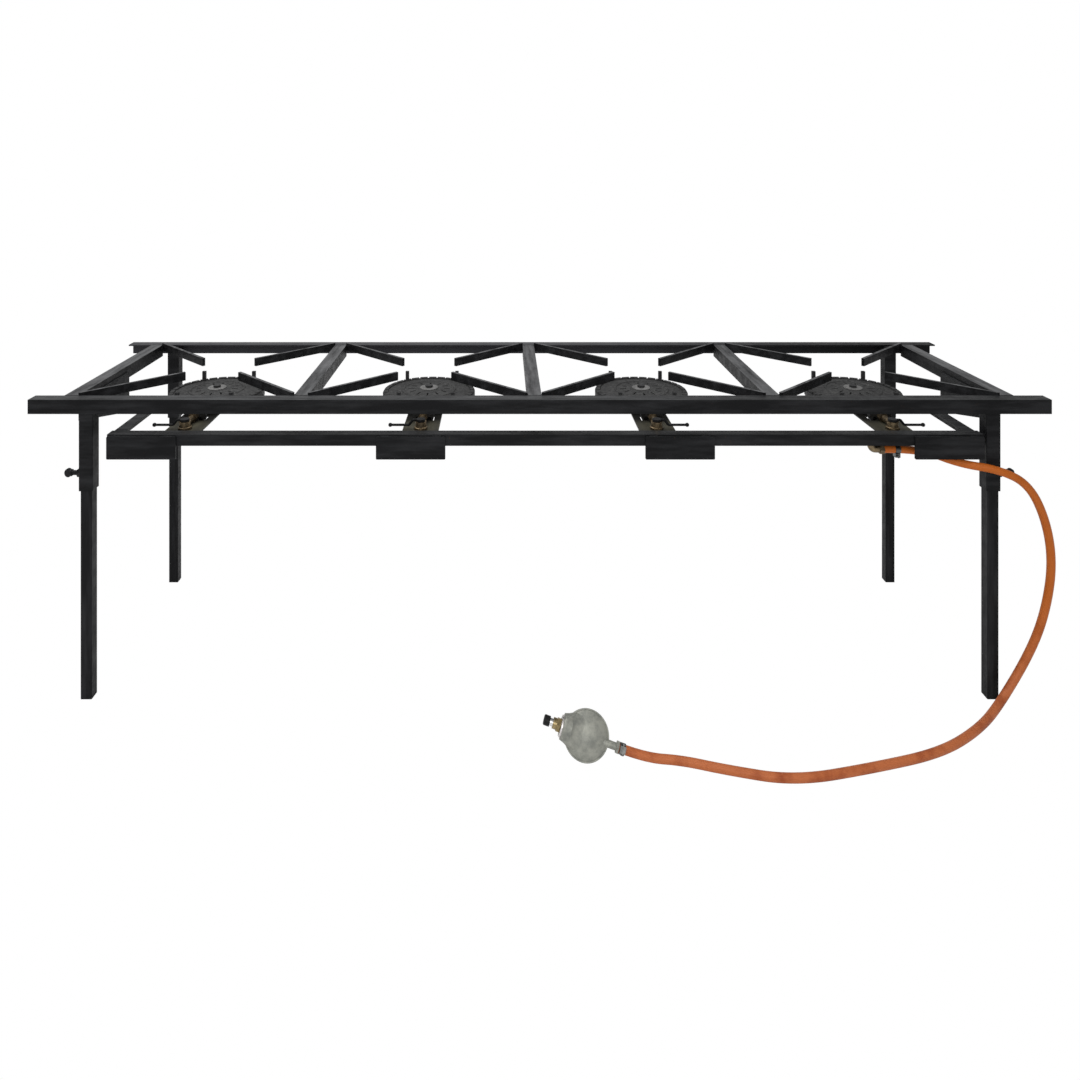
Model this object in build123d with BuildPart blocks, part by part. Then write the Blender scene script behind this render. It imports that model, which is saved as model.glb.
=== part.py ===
from build123d import *
import os
from math import atan2, cos, pi, radians, sin, sqrt, tan

os.makedirs("parts", exist_ok=True)

# The stove stands on Z = 0 with its middle over the origin. X runs along it and -Y is the cook's side.

# Overall sizes in millimetres
frame_length = 1800.0
frame_depth = 414.0
frame_height = 530.0
bay_count = 4
frame_overhang = 64.0
cross_shift = 8.0

# Angle steel of the top frame
angle_leg = 25.0
angle_wall = 3.0
angle_toe = 1.5

# Pot support bars, four to a bay, pointing at the middle of the bay
pot_bar_thickness = 6.0
pot_bar_height = 16.0
pot_bar_proud = 5.0
pot_bar_gap = 73.0

# Hung lower frame that carries the burners
lower_leg = 20.0
lower_wall = 3.0
lower_toe = 1.2
lower_drop = 62.0
lower_inset = 128.0
lower_shift = 10.0
rear_rail_back = 11.0
strap_width = 65.0
strap_thickness = 3.0

# Hanger plates between the end bars and the lower frame
hanger_thickness = 3.0
hanger_top_gap = 1.0
hanger_front_drop = 45.0
hanger_foot = 20.0
hanger_hole_radius = 4.0
hanger_hole_inset = 150.0
hanger_hole_drop = 30.0

# Plates on the front of the lower frame
front_plate_width = 122.0
front_plate_drop = 105.0
front_plate_thickness = 3.0
front_plate_corner = 2.0

# Leg sockets, legs and their clamp screws
socket_width = 25.0
socket_wall = 2.0
socket_corner = 2.5
socket_drop = 162.0
socket_inset = 100.0
leg_clearance = 0.5
leg_wall = 1.5
leg_corner = 1.5
leg_foot = 2.0
screw_radius = 4.0
screw_hole_clearance = 0.5
screw_fit = 0.08
screw_drop = 134.0
screw_tip_gap = 0.3
screw_reach = 20.0
screw_collar_radius = 6.0
screw_collar_length = 3.0
screw_head_length = 10.0
screw_head_width = 15.0
screw_head_thickness = 5.0
nut_flats = 13.0
nut_height = 6.5

# Burners, with the mixing tube pointing forward
burner_spread = 8.0
burner_margin = 115.0
bowl_height = 17.0
bowl_wall = 5.0
bowl_floor = 3.0
bowl_foot_inset = 16.0
bowl_skirt = 4.5
bowl_hub_radius = 14.0
rim_land = 8.0
bolt_radius = 4.0
bolt_clearance = 0.4
bolt_flats = 13.0
bolt_head_height = 5.5
lug_width = 7.0
lug_thickness = 6.0
lug_share = 0.565
lug_height = 20.0
tube_radius = 8.0
tube_wall = 2.2
tube_root = 4.0
tube_seat_gap = 0.3
neck_length = 6.0
bell_flare_length = 10.0
bell_length = 11.0
bell_radius = 20.0
bell_wall = 3.0
bell_flare = 5.0
jet_hole_radius = 7.0
window_clearance = 1.5

# Burner cap, with a crown of slots round the rim
cap_inset = 2.0
cap_edge = 3.5
cap_plate = 1.5
cap_rim_width = 8.0
cap_dome = 7.0
cap_hub_radius = 16.0
cap_ridge_share = 0.565
cap_ridge_width = 6.0
cap_ridge_rise = 1.5
cap_shell = 3.5
cap_hollow = 1.0
rim_slots = 30
rim_slot_width = 3.2
rim_slot_depth = 8.0
ring_slots = 12
ring_slot_width = 3.0
ring_slot_length = 12.0
ring_slot_share = 0.39

# Air shutter on the mouth of the mixing tube
shutter_radius = 19.0
shutter_thickness = 1.5
shutter_gap = 0.3
shutter_fit = 0.08
air_hole_radius = 4.2
air_hole_circle = 12.5
air_holes = 3
shutter_ear_width = 7.0
shutter_ear_length = 7.0

# Tap, injector and lever
tap_reach = 48.0
tap_barrel_radius = 10.0
tap_barrel_height = 14.0
tap_flange_radius = 12.0
tap_flange_height = 4.0
tap_stub_radius = 5.5
tap_stub_clearance = 0.5
tap_outlet_radius = 5.5
tap_collar_radius = 8.5
tap_collar_length = 7.0
jet_flats = 14.0
jet_neck_radius = 5.0
jet_hex_length = 6.0
jet_nose_radius = 2.0
jet_nose_length = 4.0
jet_neck_inset = 3.0
jet_orifice_radius = 0.75
plug_radius = 6.0
plug_fit = 0.06
plug_depth = 10.0
plug_collar_radius = 8.0
plug_collar_height = 4.0
plug_collar_gap = 0.3
lever_radius = 2.2
lever_reach = 55.0
lever_step_start = 14.0
lever_step_end = 21.0
lever_step_drop = 9.0
lever_bend = 4.0
lever_knob_radius = 3.6

# Gas rail under the straps and its inlet elbow
manifold_radius = 6.5
manifold_wall = 1.5
manifold_gap = 0.5
manifold_end = 16.0
manifold_boss_radius = 8.0
elbow_inset = 39.0
elbow_drop = 101.0
elbow_radius = 7.5
elbow_boss_length = 7.0
elbow_collar_radius = 9.0
elbow_collar_length = 8.0
elbow_reach = 22.0

# Hose and its clips
hose_radius = 7.0
clip_gap = 0.3
clip_band = 1.0
clip_width = 9.0
clip_offset = 20.0
regulator_clip_offset = 1.0
clip_screw_height = 7.0
clip_screw_width = 10.0
clip_screw_radius = 2.5
clip_screw_length = 15.0

# Regulator, leaning back on the floor at the far end of the hose
regulator_left = 731.1
regulator_ahead = 127.0
regulator_lean = 28.0
regulator_roll = 17.5
regulator_radius = 36.0
regulator_flange = 2.0
regulator_shell_radius = 31.0
regulator_back_radius = 24.0
regulator_back_depth = 13.0
regulator_shoulder = 8.0
regulator_dome = 11.0
regulator_dome_radius = 34.5
inlet_boss_radius = 18.5
inlet_boss_start = 26.0
inlet_boss_end = 40.0
inlet_ring_radius = 14.0
inlet_ring_end = 43.0
nut_radius = 10.5
nut_start = 43.3
nut_step = 49.5
nut_end = 55.7
nut_nose_radius = 8.0
nut_fit = 0.08
shaft_radius = 4.6
spigot_start = 56.0
spigot_radius = 5.5
spigot_end = 61.0
tip_radius = 7.5
tip_end = 71.0
tip_round = 2.0
outlet_neck_radius = 5.5
outlet_neck_end = 49.0
outlet_collar_flats = 16.0
outlet_end = 53.0

# Overrun of cuts past a face
overrun = 1.0

# Levels worked out from the sizes above
top_z = frame_height
front_y = -frame_depth / 2
bay_pitch = (frame_length - 2 * frame_overhang) / bay_count
rail_inner_y = frame_depth / 2 - angle_leg
end_bar_inner_x = bay_count / 2 * bay_pitch - angle_leg / 2
under_flange_z = top_z - angle_wall
lower_z = top_z - lower_drop
lower_y = front_y + front_plate_thickness
strap_top_z = lower_z - lower_wall
strap_under_z = strap_top_z - strap_thickness
lower_half_length = frame_length / 2 - lower_inset
bowl_radius = frame_depth / 2 - burner_margin
bowl_foot_radius = bowl_radius - bowl_foot_inset
bowl_top_z = strap_top_z + bowl_height
cap_radius = bowl_radius - cap_inset
cap_ridge_radius = cap_ridge_share * bowl_radius
ring_slot_radius = ring_slot_share * bowl_radius
lug_x = lug_share * bowl_radius
neck_reach = bowl_radius + neck_length
bell_back_reach = neck_reach + bell_flare_length
bell_front_reach = bell_back_reach + bell_length
tap_y = -bell_front_reach - tap_reach
tube_z = strap_top_z + tube_seat_gap + tube_radius
socket_x = frame_length / 2 - socket_inset
socket_y = frame_depth / 2 - angle_wall - socket_width / 2
leg_width = socket_width - 2 * socket_wall - 2 * leg_clearance
manifold_z = strap_under_z - manifold_gap - manifold_radius
barrel_top_z = strap_top_z + tap_barrel_height
burner_pitch = bay_pitch + burner_spread
burner_places = [burner_pitch * (step - (bay_count - 1) / 2) for step in range(bay_count)]
elbow_x = burner_places[-1] - elbow_inset
cross_places = [bay_pitch * (step - bay_count / 2) for step in range(bay_count + 1)]
cross_places[1] -= cross_shift
cross_places[2] -= cross_shift
hanger_hole_y = front_y + hanger_hole_inset
regulator_x = socket_x - regulator_left
regulator_y = front_y - regulator_ahead
corner_signs = [(-1, -1), (1, -1), (-1, 1), (1, 1)]


def save(piece, name):
    piece.part.label = name
    export_step(piece.part, f"parts/{name}.step")


# A plane whose normal runs along the bar, with local x across it and local y up
def bar_plane_x(start_x, y, z, inward):
    return Plane(origin=(start_x, y, z), x_dir=(0, inward, 0), z_dir=(inward, 0, 0))


def bar_plane_y(x, start_y, z, across):
    return Plane(origin=(x, start_y, z), x_dir=(across, 0, 0), z_dir=(0, -across, 0))


# An angle bar whose outer corner starts at the plane's origin, one leg level and one hanging
def angle_bar(plane, length, leg, wall, toe):
    with BuildPart() as bar:
        with BuildSketch(plane):
            with BuildLine():
                Polyline(
                    (0, 0), (leg, 0), (leg, -wall), (wall, -wall), (wall, -leg), (0, -leg), close=True
                )
            make_face()
            fillet(vertices().sort_by_distance(Vector(leg, -wall))[0], radius=toe)
            fillet(vertices().sort_by_distance(Vector(wall, -leg))[0], radius=toe)
        extrude(amount=length)
    return bar


# Front and back rails of the top frame
for name, inward in (("front_rail", 1), ("back_rail", -1)):
    rail_plane = bar_plane_x(-inward * frame_length / 2, inward * front_y, top_z, inward)
    save(angle_bar(rail_plane, frame_length, angle_leg, angle_wall, angle_toe), name)

# Cross bars, with the hanging leg on the side nearer the middle of the stove, and the second and
# the middle one a little off their even places
for number, place in enumerate(cross_places, start=1):
    across = 1 if number > bay_count / 2 else -1
    bar_plane = bar_plane_y(
        place - across * angle_leg / 2, across * rail_inner_y, top_z, across
    )
    save(angle_bar(bar_plane, 2 * rail_inner_y, angle_leg, angle_wall, angle_toe), f"cross_bar_{number}")

# Pot support bars, their outer ends mitred into the corners of the bay
bay_half_y = rail_inner_y
half_bar = pot_bar_thickness / 2


def pot_bar_outline(bay_half_x):
    bar_slope = atan2(bay_half_y, bay_half_x)
    inner_x = pot_bar_gap * cos(bar_slope)
    inner_y = pot_bar_gap * sin(bar_slope)
    return [
        (bay_half_x, bay_half_y),
        (bay_half_x, bay_half_y - half_bar / cos(bar_slope)),
        (inner_x + half_bar * sin(bar_slope), inner_y - half_bar * cos(bar_slope)),
        (inner_x - half_bar * sin(bar_slope), inner_y + half_bar * cos(bar_slope)),
        (bay_half_x - half_bar / sin(bar_slope), bay_half_y),
    ]


for number, (left, right) in enumerate(zip(cross_places, cross_places[1:]), start=1):
    middle = (left + right) / 2
    outline = pot_bar_outline((right - left - angle_leg) / 2)
    with BuildPart() as pot_bars:
        with BuildSketch(Plane.XY.offset(top_z + pot_bar_proud)):
            for sign_x, sign_y in corner_signs:
                with BuildLine():
                    Polyline([(middle + sign_x * x, sign_y * y) for x, y in outline], close=True)
                make_face()
        extrude(amount=-pot_bar_height)
    save(pot_bars, f"pot_bars_{number}")

# Lower front rail
lower_left = lower_shift - lower_half_length
lower_right = lower_shift + lower_half_length
lower_front_plane = bar_plane_x(lower_left, lower_y, lower_z, 1)
save(
    angle_bar(lower_front_plane, 2 * lower_half_length, lower_leg, lower_wall, lower_toe),
    "lower_front_rail",
)

# Rear rail and two side bars of the lower frame, the side bars lapped over the rail
hanger_inner_x = end_bar_inner_x - hanger_thickness
rear_rail_front = rear_rail_back - lower_leg
side_bar_length = rear_rail_front - (lower_y + lower_wall)
rear_rail_plane = bar_plane_x(hanger_inner_x, rear_rail_back, strap_under_z, -1)
left_bar_plane = bar_plane_y(lower_left, rear_rail_front, strap_top_z, 1)
right_bar_plane = bar_plane_y(lower_right, lower_y + lower_wall, strap_top_z, -1)
with BuildPart() as lower_frame_bars:
    add(angle_bar(rear_rail_plane, 2 * hanger_inner_x, lower_leg, lower_wall, lower_toe).part)
    with BuildSketch(Plane.XY.offset(strap_under_z)):
        with Locations([(place, 0) for place in burner_places]):
            Circle(bolt_radius + bolt_clearance)
    extrude(amount=-lower_leg, mode=Mode.SUBTRACT)
    add(angle_bar(left_bar_plane, side_bar_length, lower_leg, lower_wall, lower_toe).part)
    add(angle_bar(right_bar_plane, side_bar_length, lower_leg, lower_wall, lower_toe).part)
    with BuildSketch(Plane.XY.offset(strap_under_z)):
        for lap_x in (lower_left + lower_leg / 2, lower_right - lower_leg / 2):
            with Locations((lap_x, (rear_rail_front + rear_rail_back) / 2)):
                Rectangle(lower_leg, rear_rail_back - rear_rail_front)
    extrude(amount=lower_wall)
save(lower_frame_bars, "lower_frame_bars")

# Hanger plates, deep at the rear rail and shallow at the front corner
hanger_top = top_z - pot_bar_height + pot_bar_proud - hanger_top_gap
hanger_bottom = strap_under_z - lower_leg
with BuildPart() as hanger_plates:
    for side in (-1, 1):
        with BuildSketch(Plane(origin=(side * hanger_inner_x, 0, 0), x_dir=(0, side, 0), z_dir=(side, 0, 0))):
            with BuildLine():
                Polyline(
                    (-side * rail_inner_y, hanger_top),
                    (side * rear_rail_back, hanger_top),
                    (side * rear_rail_back, hanger_bottom),
                    (side * (rear_rail_back - hanger_foot), hanger_bottom),
                    (-side * rail_inner_y, top_z - hanger_front_drop),
                    close=True,
                )
            make_face()
            with Locations((side * hanger_hole_y, top_z - hanger_hole_drop)):
                Circle(hanger_hole_radius, mode=Mode.SUBTRACT)
        extrude(amount=hanger_thickness)
save(hanger_plates, "hanger_plates")

# Front plates, spaced evenly from one end of the lower rail to the other
plate_pitch = (2 * lower_half_length - front_plate_width) / (bay_count - 1)
front_plate_height = front_plate_drop - lower_drop - lower_wall
with BuildPart() as front_plates:
    with BuildSketch(Plane.XZ.offset(-lower_y)):
        for step in range(bay_count):
            plate_x = lower_left + front_plate_width / 2 + step * plate_pitch
            plate_z = top_z - front_plate_drop + front_plate_height / 2
            with Locations((plate_x, plate_z)):
                RectangleRounded(front_plate_width, front_plate_height, front_plate_corner)
    extrude(amount=front_plate_thickness)
save(front_plates, "front_plates")

# Straps from the lower front rail to the rear rail, each with a window for the mouth of the mixing tube
bell_half_chord = sqrt(bell_radius**2 - (tube_z - strap_top_z) ** 2)
window_width = 2 * (bell_half_chord + window_clearance)
window_front = -bell_front_reach - shutter_gap - shutter_thickness - window_clearance
window_back = window_clearance * 2 - neck_reach
strap_front = lower_y + lower_wall
with BuildPart() as burner_straps:
    with BuildSketch(Plane.XY.offset(strap_under_z)):
        for place in burner_places:
            with Locations((place, (strap_front + rear_rail_back) / 2)):
                Rectangle(strap_width, rear_rail_back - strap_front)
            with Locations((place, (window_front + window_back) / 2)):
                Rectangle(window_width, window_back - window_front, mode=Mode.SUBTRACT)
            with Locations((place, tap_y)):
                Circle(tap_stub_radius + tap_stub_clearance, mode=Mode.SUBTRACT)
            with Locations((place, 0)):
                Circle(bolt_radius + bolt_clearance, mode=Mode.SUBTRACT)
    extrude(amount=strap_thickness)
save(burner_straps, "burner_straps")

# Leg sockets of square tube, with a nut welded over the screw hole on the outer side
screw_z = top_z - screw_drop
leg_places = [(sign_x * socket_x, sign_y * socket_y, sign_x) for sign_x, sign_y in corner_signs]
socket_bore = socket_width - 2 * socket_wall
for number, (x, y, side) in enumerate(leg_places, start=1):
    with BuildPart() as leg_socket:
        with BuildSketch(Plane(origin=(x, y, under_flange_z))):
            RectangleRounded(socket_width, socket_width, socket_corner)
            Rectangle(socket_bore, socket_bore, mode=Mode.SUBTRACT)
        extrude(amount=angle_wall - socket_drop)
        with BuildSketch(Plane(origin=(x, y, screw_z), x_dir=(0, side, 0), z_dir=(side, 0, 0))):
            Circle(screw_radius + screw_hole_clearance)
        extrude(amount=socket_width, mode=Mode.SUBTRACT)
    save(leg_socket, f"leg_socket_{number}")

nut_face_x = socket_width / 2
with BuildPart() as socket_nuts:
    for x, y, side in leg_places:
        nut_plane = Plane(origin=(x + side * nut_face_x, y, screw_z), x_dir=(0, side, 0), z_dir=(side, 0, 0))
        with BuildSketch(nut_plane):
            RegularPolygon(nut_flats / 2, 6, major_radius=False)
            Circle(screw_radius + screw_fit, mode=Mode.SUBTRACT)
        extrude(amount=nut_height)
save(socket_nuts, "socket_nuts")

# Legs of smaller square tube with a closed foot
for number, (x, y, side) in enumerate(leg_places, start=1):
    with BuildPart() as leg:
        with BuildSketch(Plane(origin=(x, y, 0))):
            RectangleRounded(leg_width, leg_width, leg_corner)
        extrude(amount=under_flange_z)
        with BuildSketch(Plane(origin=(x, y, leg_foot))):
            Rectangle(leg_width - 2 * leg_wall, leg_width - 2 * leg_wall)
        extrude(amount=under_flange_z, mode=Mode.SUBTRACT)
    save(leg, f"leg_{number}")

# Spade-headed clamp screws, drawn along the screw from its tip
screw_tip = leg_width / 2 + screw_tip_gap
screw_length = nut_face_x + screw_reach - screw_tip
for number, (x, y, side) in enumerate(leg_places, start=1):
    tip_x = x + side * screw_tip
    side_plane = Plane(origin=(tip_x, y, screw_z), x_dir=(side, 0, 0), z_dir=(0, -side, 0))
    with BuildPart() as clamp_screw:
        with BuildSketch(side_plane):
            with BuildLine():
                Polyline(
                    (0, 0),
                    (0, screw_radius),
                    (screw_length - screw_collar_length, screw_radius),
                    (screw_length - screw_collar_length, screw_collar_radius),
                    (screw_length, screw_collar_radius),
                    (screw_length, 0),
                    close=True,
                )
            make_face()
        revolve(axis=Axis((tip_x, y, screw_z), (side, 0, 0)))
        with BuildSketch(side_plane.offset(-screw_head_thickness / 2)):
            with Locations((screw_length + screw_head_length / 2 - screw_collar_length / 2, 0)):
                Ellipse(screw_head_length / 2 + screw_collar_length / 2, screw_head_width / 2)
        extrude(amount=screw_head_thickness)
    save(clamp_screw, f"clamp_screw_{number}")

# Burner bowls, cast in one with the mixing tube, the mouth and four upright lugs
lug_y = sqrt((bowl_radius - lug_thickness / 2) ** 2 - lug_x**2)
bolt_hole = bolt_radius + bolt_clearance
tube_start = bowl_radius - bowl_wall - tube_root
for number, place in enumerate(burner_places, start=1):
    bowl_plane = Plane(origin=(place, 0, strap_top_z), x_dir=(1, 0, 0), z_dir=(0, -1, 0))
    tube_plane = Plane(origin=(place, 0, tube_z), x_dir=(0, -1, 0), z_dir=(1, 0, 0))
    tube_axis = Axis((place, 0, tube_z), (0, -1, 0))
    mouth_plane = Plane(origin=(place, -bell_front_reach, tube_z), x_dir=(1, 0, 0), z_dir=(0, -1, 0))
    with BuildPart() as burner_bowl:
        with BuildSketch(bowl_plane):
            with BuildLine():
                Polyline(
                    (bolt_hole, 0),
                    (bowl_foot_radius, 0),
                    (bowl_radius, bowl_skirt),
                    (bowl_radius, bowl_height),
                    (bowl_radius - rim_land, bowl_height),
                    (bowl_radius - rim_land, bowl_height - bowl_wall),
                    (bowl_radius - bowl_wall, bowl_height - rim_land),
                    (bowl_radius - bowl_wall, bowl_skirt + bowl_floor),
                    (bowl_foot_radius - bowl_floor, bowl_floor),
                    (bowl_hub_radius, bowl_floor),
                    (bowl_hub_radius, bowl_height),
                    (bolt_hole, bowl_height),
                    close=True,
                )
            make_face()
        revolve(axis=Axis((place, 0, strap_top_z), (0, 0, 1)))
        with BuildSketch(tube_plane):
            with BuildLine():
                Polyline(
                    (tube_start, 0),
                    (tube_start, tube_radius),
                    (neck_reach, tube_radius),
                    (bell_back_reach, bell_radius),
                    (bell_front_reach, bell_radius),
                    (bell_front_reach, 0),
                    close=True,
                )
            make_face()
            fillet(vertices().sort_by_distance(Vector(neck_reach, tube_radius))[0], radius=bell_flare)
        revolve(axis=tube_axis)
        with BuildSketch(tube_plane):
            with BuildLine():
                Polyline(
                    (tube_start - overrun, 0),
                    (tube_start - overrun, tube_radius - tube_wall),
                    (neck_reach, tube_radius - tube_wall),
                    (bell_back_reach, bell_radius - bell_wall),
                    (bell_front_reach - bell_wall, bell_radius - bell_wall),
                    (bell_front_reach - bell_wall, 0),
                    close=True,
                )
            make_face()
        revolve(axis=tube_axis, mode=Mode.SUBTRACT)
        with BuildSketch(mouth_plane):
            Circle(jet_hole_radius)
            with PolarLocations(air_hole_circle, air_holes, start_angle=90):
                Circle(air_hole_radius)
        extrude(amount=-bell_wall - overrun, mode=Mode.SUBTRACT)
        with BuildSketch(Plane.XY.offset(bowl_top_z - rim_land / 2)):
            for sign_x, sign_y in corner_signs:
                with Locations((place + sign_x * lug_x, sign_y * lug_y)):
                    Rectangle(lug_width, lug_thickness)
        extrude(amount=rim_land / 2 + lug_height)
    save(burner_bowl, f"burner_bowl_{number}")

# Burner caps: a crown of teeth round the rim, a thin domed plate with a ridge, and a ring of slots
rim_slot_middle = cap_radius + overrun - (rim_slot_depth + overrun) / 2
cap_rim_inner = cap_radius - cap_rim_width
for number, place in enumerate(burner_places, start=1):
    cap_plane = Plane(origin=(place, 0, bowl_top_z), x_dir=(1, 0, 0), z_dir=(0, -1, 0))
    ridge_outer = cap_ridge_radius + cap_ridge_width / 2
    ridge_inner = cap_ridge_radius - cap_ridge_width / 2
    ridge_foot = (cap_plate + cap_dome) / 2
    ridge_top = ridge_foot + cap_ridge_rise
    with BuildPart() as burner_cap:
        with BuildSketch(cap_plane):
            with BuildLine():
                Polyline(
                    (bolt_hole, 0),
                    (cap_hub_radius, 0),
                    (cap_hub_radius, cap_dome - cap_shell),
                    (ridge_outer, cap_hollow),
                    (cap_rim_inner - overrun, 0),
                    (cap_radius, 0),
                    (cap_radius, cap_edge),
                    (cap_rim_inner, cap_edge),
                    (cap_rim_inner, cap_plate),
                    (ridge_outer, ridge_foot),
                    (ridge_outer - cap_ridge_rise, ridge_top),
                    (ridge_inner + cap_ridge_rise, ridge_top),
                    (ridge_inner, ridge_foot),
                    (cap_hub_radius, cap_dome),
                    (bolt_hole, cap_dome),
                    close=True,
                )
            make_face()
        revolve(axis=Axis((place, 0, bowl_top_z), (0, 0, 1)))
        with BuildSketch(Plane(origin=(place, 0, bowl_top_z))):
            with PolarLocations(rim_slot_middle, rim_slots):
                Rectangle(rim_slot_depth + overrun, rim_slot_width)
            with PolarLocations(ring_slot_radius, ring_slots):
                Rectangle(ring_slot_length, ring_slot_width)
            for sign_x, sign_y in corner_signs:
                with Locations((sign_x * lug_x, sign_y * lug_y)):
                    Rectangle(lug_width + overrun, lug_thickness + 2 * overrun)
        extrude(amount=cap_dome + cap_shell, mode=Mode.SUBTRACT)
    save(burner_cap, f"burner_cap_{number}")

# One bolt through each cap, bowl, strap and rear rail, with a nut beneath
bolt_head_z = bowl_top_z + cap_dome
bolt_end_z = strap_under_z - lower_wall - nut_height - overrun
with BuildPart() as burner_bolts:
    for place in burner_places:
        with BuildSketch(Plane(origin=(place, 0, bolt_head_z))):
            RegularPolygon(bolt_flats / 2, 6, major_radius=False)
        extrude(amount=bolt_head_height)
        with BuildSketch(Plane(origin=(place, 0, bolt_head_z))):
            Circle(bolt_radius)
        extrude(amount=bolt_end_z - bolt_head_z)
with BuildPart() as bolt_nuts:
    for place in burner_places:
        with BuildSketch(Plane(origin=(place, 0, strap_under_z - lower_wall))):
            RegularPolygon(nut_flats / 2, 6, major_radius=False)
            Circle(bolt_radius, mode=Mode.SUBTRACT)
        extrude(amount=-nut_height)
burner_fixings = Compound(children=[*burner_bolts.part.solids(), *bolt_nuts.part.solids()])
burner_fixings.label = "burner_bolts"
export_step(burner_fixings, "parts/burner_bolts.step")

# Air shutters that turn on the neck of the injector
shutter_y = -bell_front_reach - shutter_gap
ear_middle = shutter_radius + shutter_ear_length / 2 - overrun
for number, place in enumerate(burner_places, start=1):
    shutter_plane = Plane(origin=(place, shutter_y, tube_z), x_dir=(1, 0, 0), z_dir=(0, -1, 0))
    with BuildPart() as air_shutter:
        with BuildSketch(shutter_plane):
            Circle(shutter_radius)
            with Locations((0, ear_middle)):
                Rectangle(shutter_ear_width, shutter_ear_length + 2 * overrun)
            Circle(jet_neck_radius + shutter_fit, mode=Mode.SUBTRACT)
            with PolarLocations(air_hole_circle, air_holes, start_angle=90):
                Circle(air_hole_radius, mode=Mode.SUBTRACT)
        extrude(amount=shutter_thickness)
    save(air_shutter, f"air_shutter_{number}")

# Injectors, screwed to the taps and poking through the shutters into the mixing tubes
jet_hex_y = shutter_y - shutter_thickness - shutter_gap
jet_nose_y = -bell_front_reach + bell_wall + jet_neck_inset
with BuildPart() as gas_jets:
    for place in burner_places:
        with BuildSketch(Plane(origin=(place, jet_hex_y, tube_z), x_dir=(1, 0, 0), z_dir=(0, -1, 0))):
            RegularPolygon(jet_flats / 2, 6, major_radius=False)
        extrude(amount=jet_hex_length)
        with BuildSketch(Plane(origin=(place, 0, tube_z), x_dir=(0, -1, 0), z_dir=(1, 0, 0))):
            with BuildLine():
                Polyline(
                    (-jet_nose_y - jet_nose_length, 0),
                    (-jet_nose_y - jet_nose_length, jet_nose_radius),
                    (-jet_nose_y, jet_neck_radius),
                    (-jet_hex_y, jet_neck_radius),
                    (-jet_hex_y, 0),
                    close=True,
                )
            make_face()
        revolve(axis=Axis((place, 0, tube_z), (0, -1, 0)))
        with BuildSketch(Plane(origin=(place, jet_nose_y, tube_z), x_dir=(1, 0, 0), z_dir=(0, 1, 0))):
            Circle(jet_orifice_radius)
        extrude(amount=jet_nose_length, mode=Mode.SUBTRACT)
save(gas_jets, "gas_jets")

# Tap bodies, standing on the straps over the gas rail
jet_back_y = jet_hex_y - jet_hex_length
for number, place in enumerate(burner_places, start=1):
    outlet_plane = Plane(origin=(place, jet_back_y, tube_z), x_dir=(1, 0, 0), z_dir=(0, -1, 0))
    with BuildPart() as tap_body:
        with BuildSketch(Plane(origin=(place, tap_y, strap_top_z), x_dir=(1, 0, 0), z_dir=(0, -1, 0))):
            with BuildLine():
                Polyline(
                    (0, -strap_thickness - manifold_gap),
                    (tap_stub_radius, -strap_thickness - manifold_gap),
                    (tap_stub_radius, 0),
                    (tap_flange_radius, 0),
                    (tap_flange_radius, tap_flange_height),
                    (tap_barrel_radius, tap_flange_height + overrun),
                    (tap_barrel_radius, tap_barrel_height),
                    (0, tap_barrel_height),
                    close=True,
                )
            make_face()
        revolve(axis=Axis((place, tap_y, strap_top_z), (0, 0, 1)))
        with BuildSketch(outlet_plane):
            Circle(tap_outlet_radius)
        extrude(until=Until.NEXT)
        with BuildSketch(outlet_plane):
            RegularPolygon(tap_collar_radius, 6)
        extrude(amount=tap_collar_length)
        with BuildSketch(Plane(origin=(place, tap_y, barrel_top_z))):
            Circle(plug_radius)
        extrude(amount=-plug_depth, mode=Mode.SUBTRACT)
    save(tap_body, f"tap_body_{number}")

# Tap plugs with their cranked rod levers, which point along the stove when shut
collar_bottom_z = barrel_top_z + plug_collar_gap
plug_bottom_z = barrel_top_z - plug_depth + plug_collar_gap
rod_z = collar_bottom_z + plug_collar_height / 2
lever_route = [(0, 0), (lever_step_start, 0), (lever_step_end, -lever_step_drop), (lever_reach, -lever_step_drop)]
with BuildPart() as lever_rod:
    with BuildLine(Plane.XZ) as lever_path:
        FilletPolyline(*lever_route, radius=lever_bend)
    with BuildSketch(Plane.YZ):
        Circle(lever_radius)
    sweep(path=lever_path.line)
    with Locations((lever_reach, 0, -lever_step_drop)):
        Sphere(lever_knob_radius)
for number, place in enumerate(burner_places, start=1):
    lever_turn = 0 if place > 0 else 180
    with BuildPart() as tap_lever:
        with BuildSketch(Plane(origin=(place, tap_y, plug_bottom_z))):
            Circle(plug_radius - plug_fit)
        extrude(amount=collar_bottom_z - plug_bottom_z)
        with BuildSketch(Plane(origin=(place, tap_y, collar_bottom_z))):
            Circle(plug_collar_radius)
        extrude(amount=plug_collar_height)
        with Locations(Location((place, tap_y, rod_z), (0, 0, lever_turn))):
            add(lever_rod.part)
    save(tap_lever, f"tap_lever_{number}")

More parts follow.
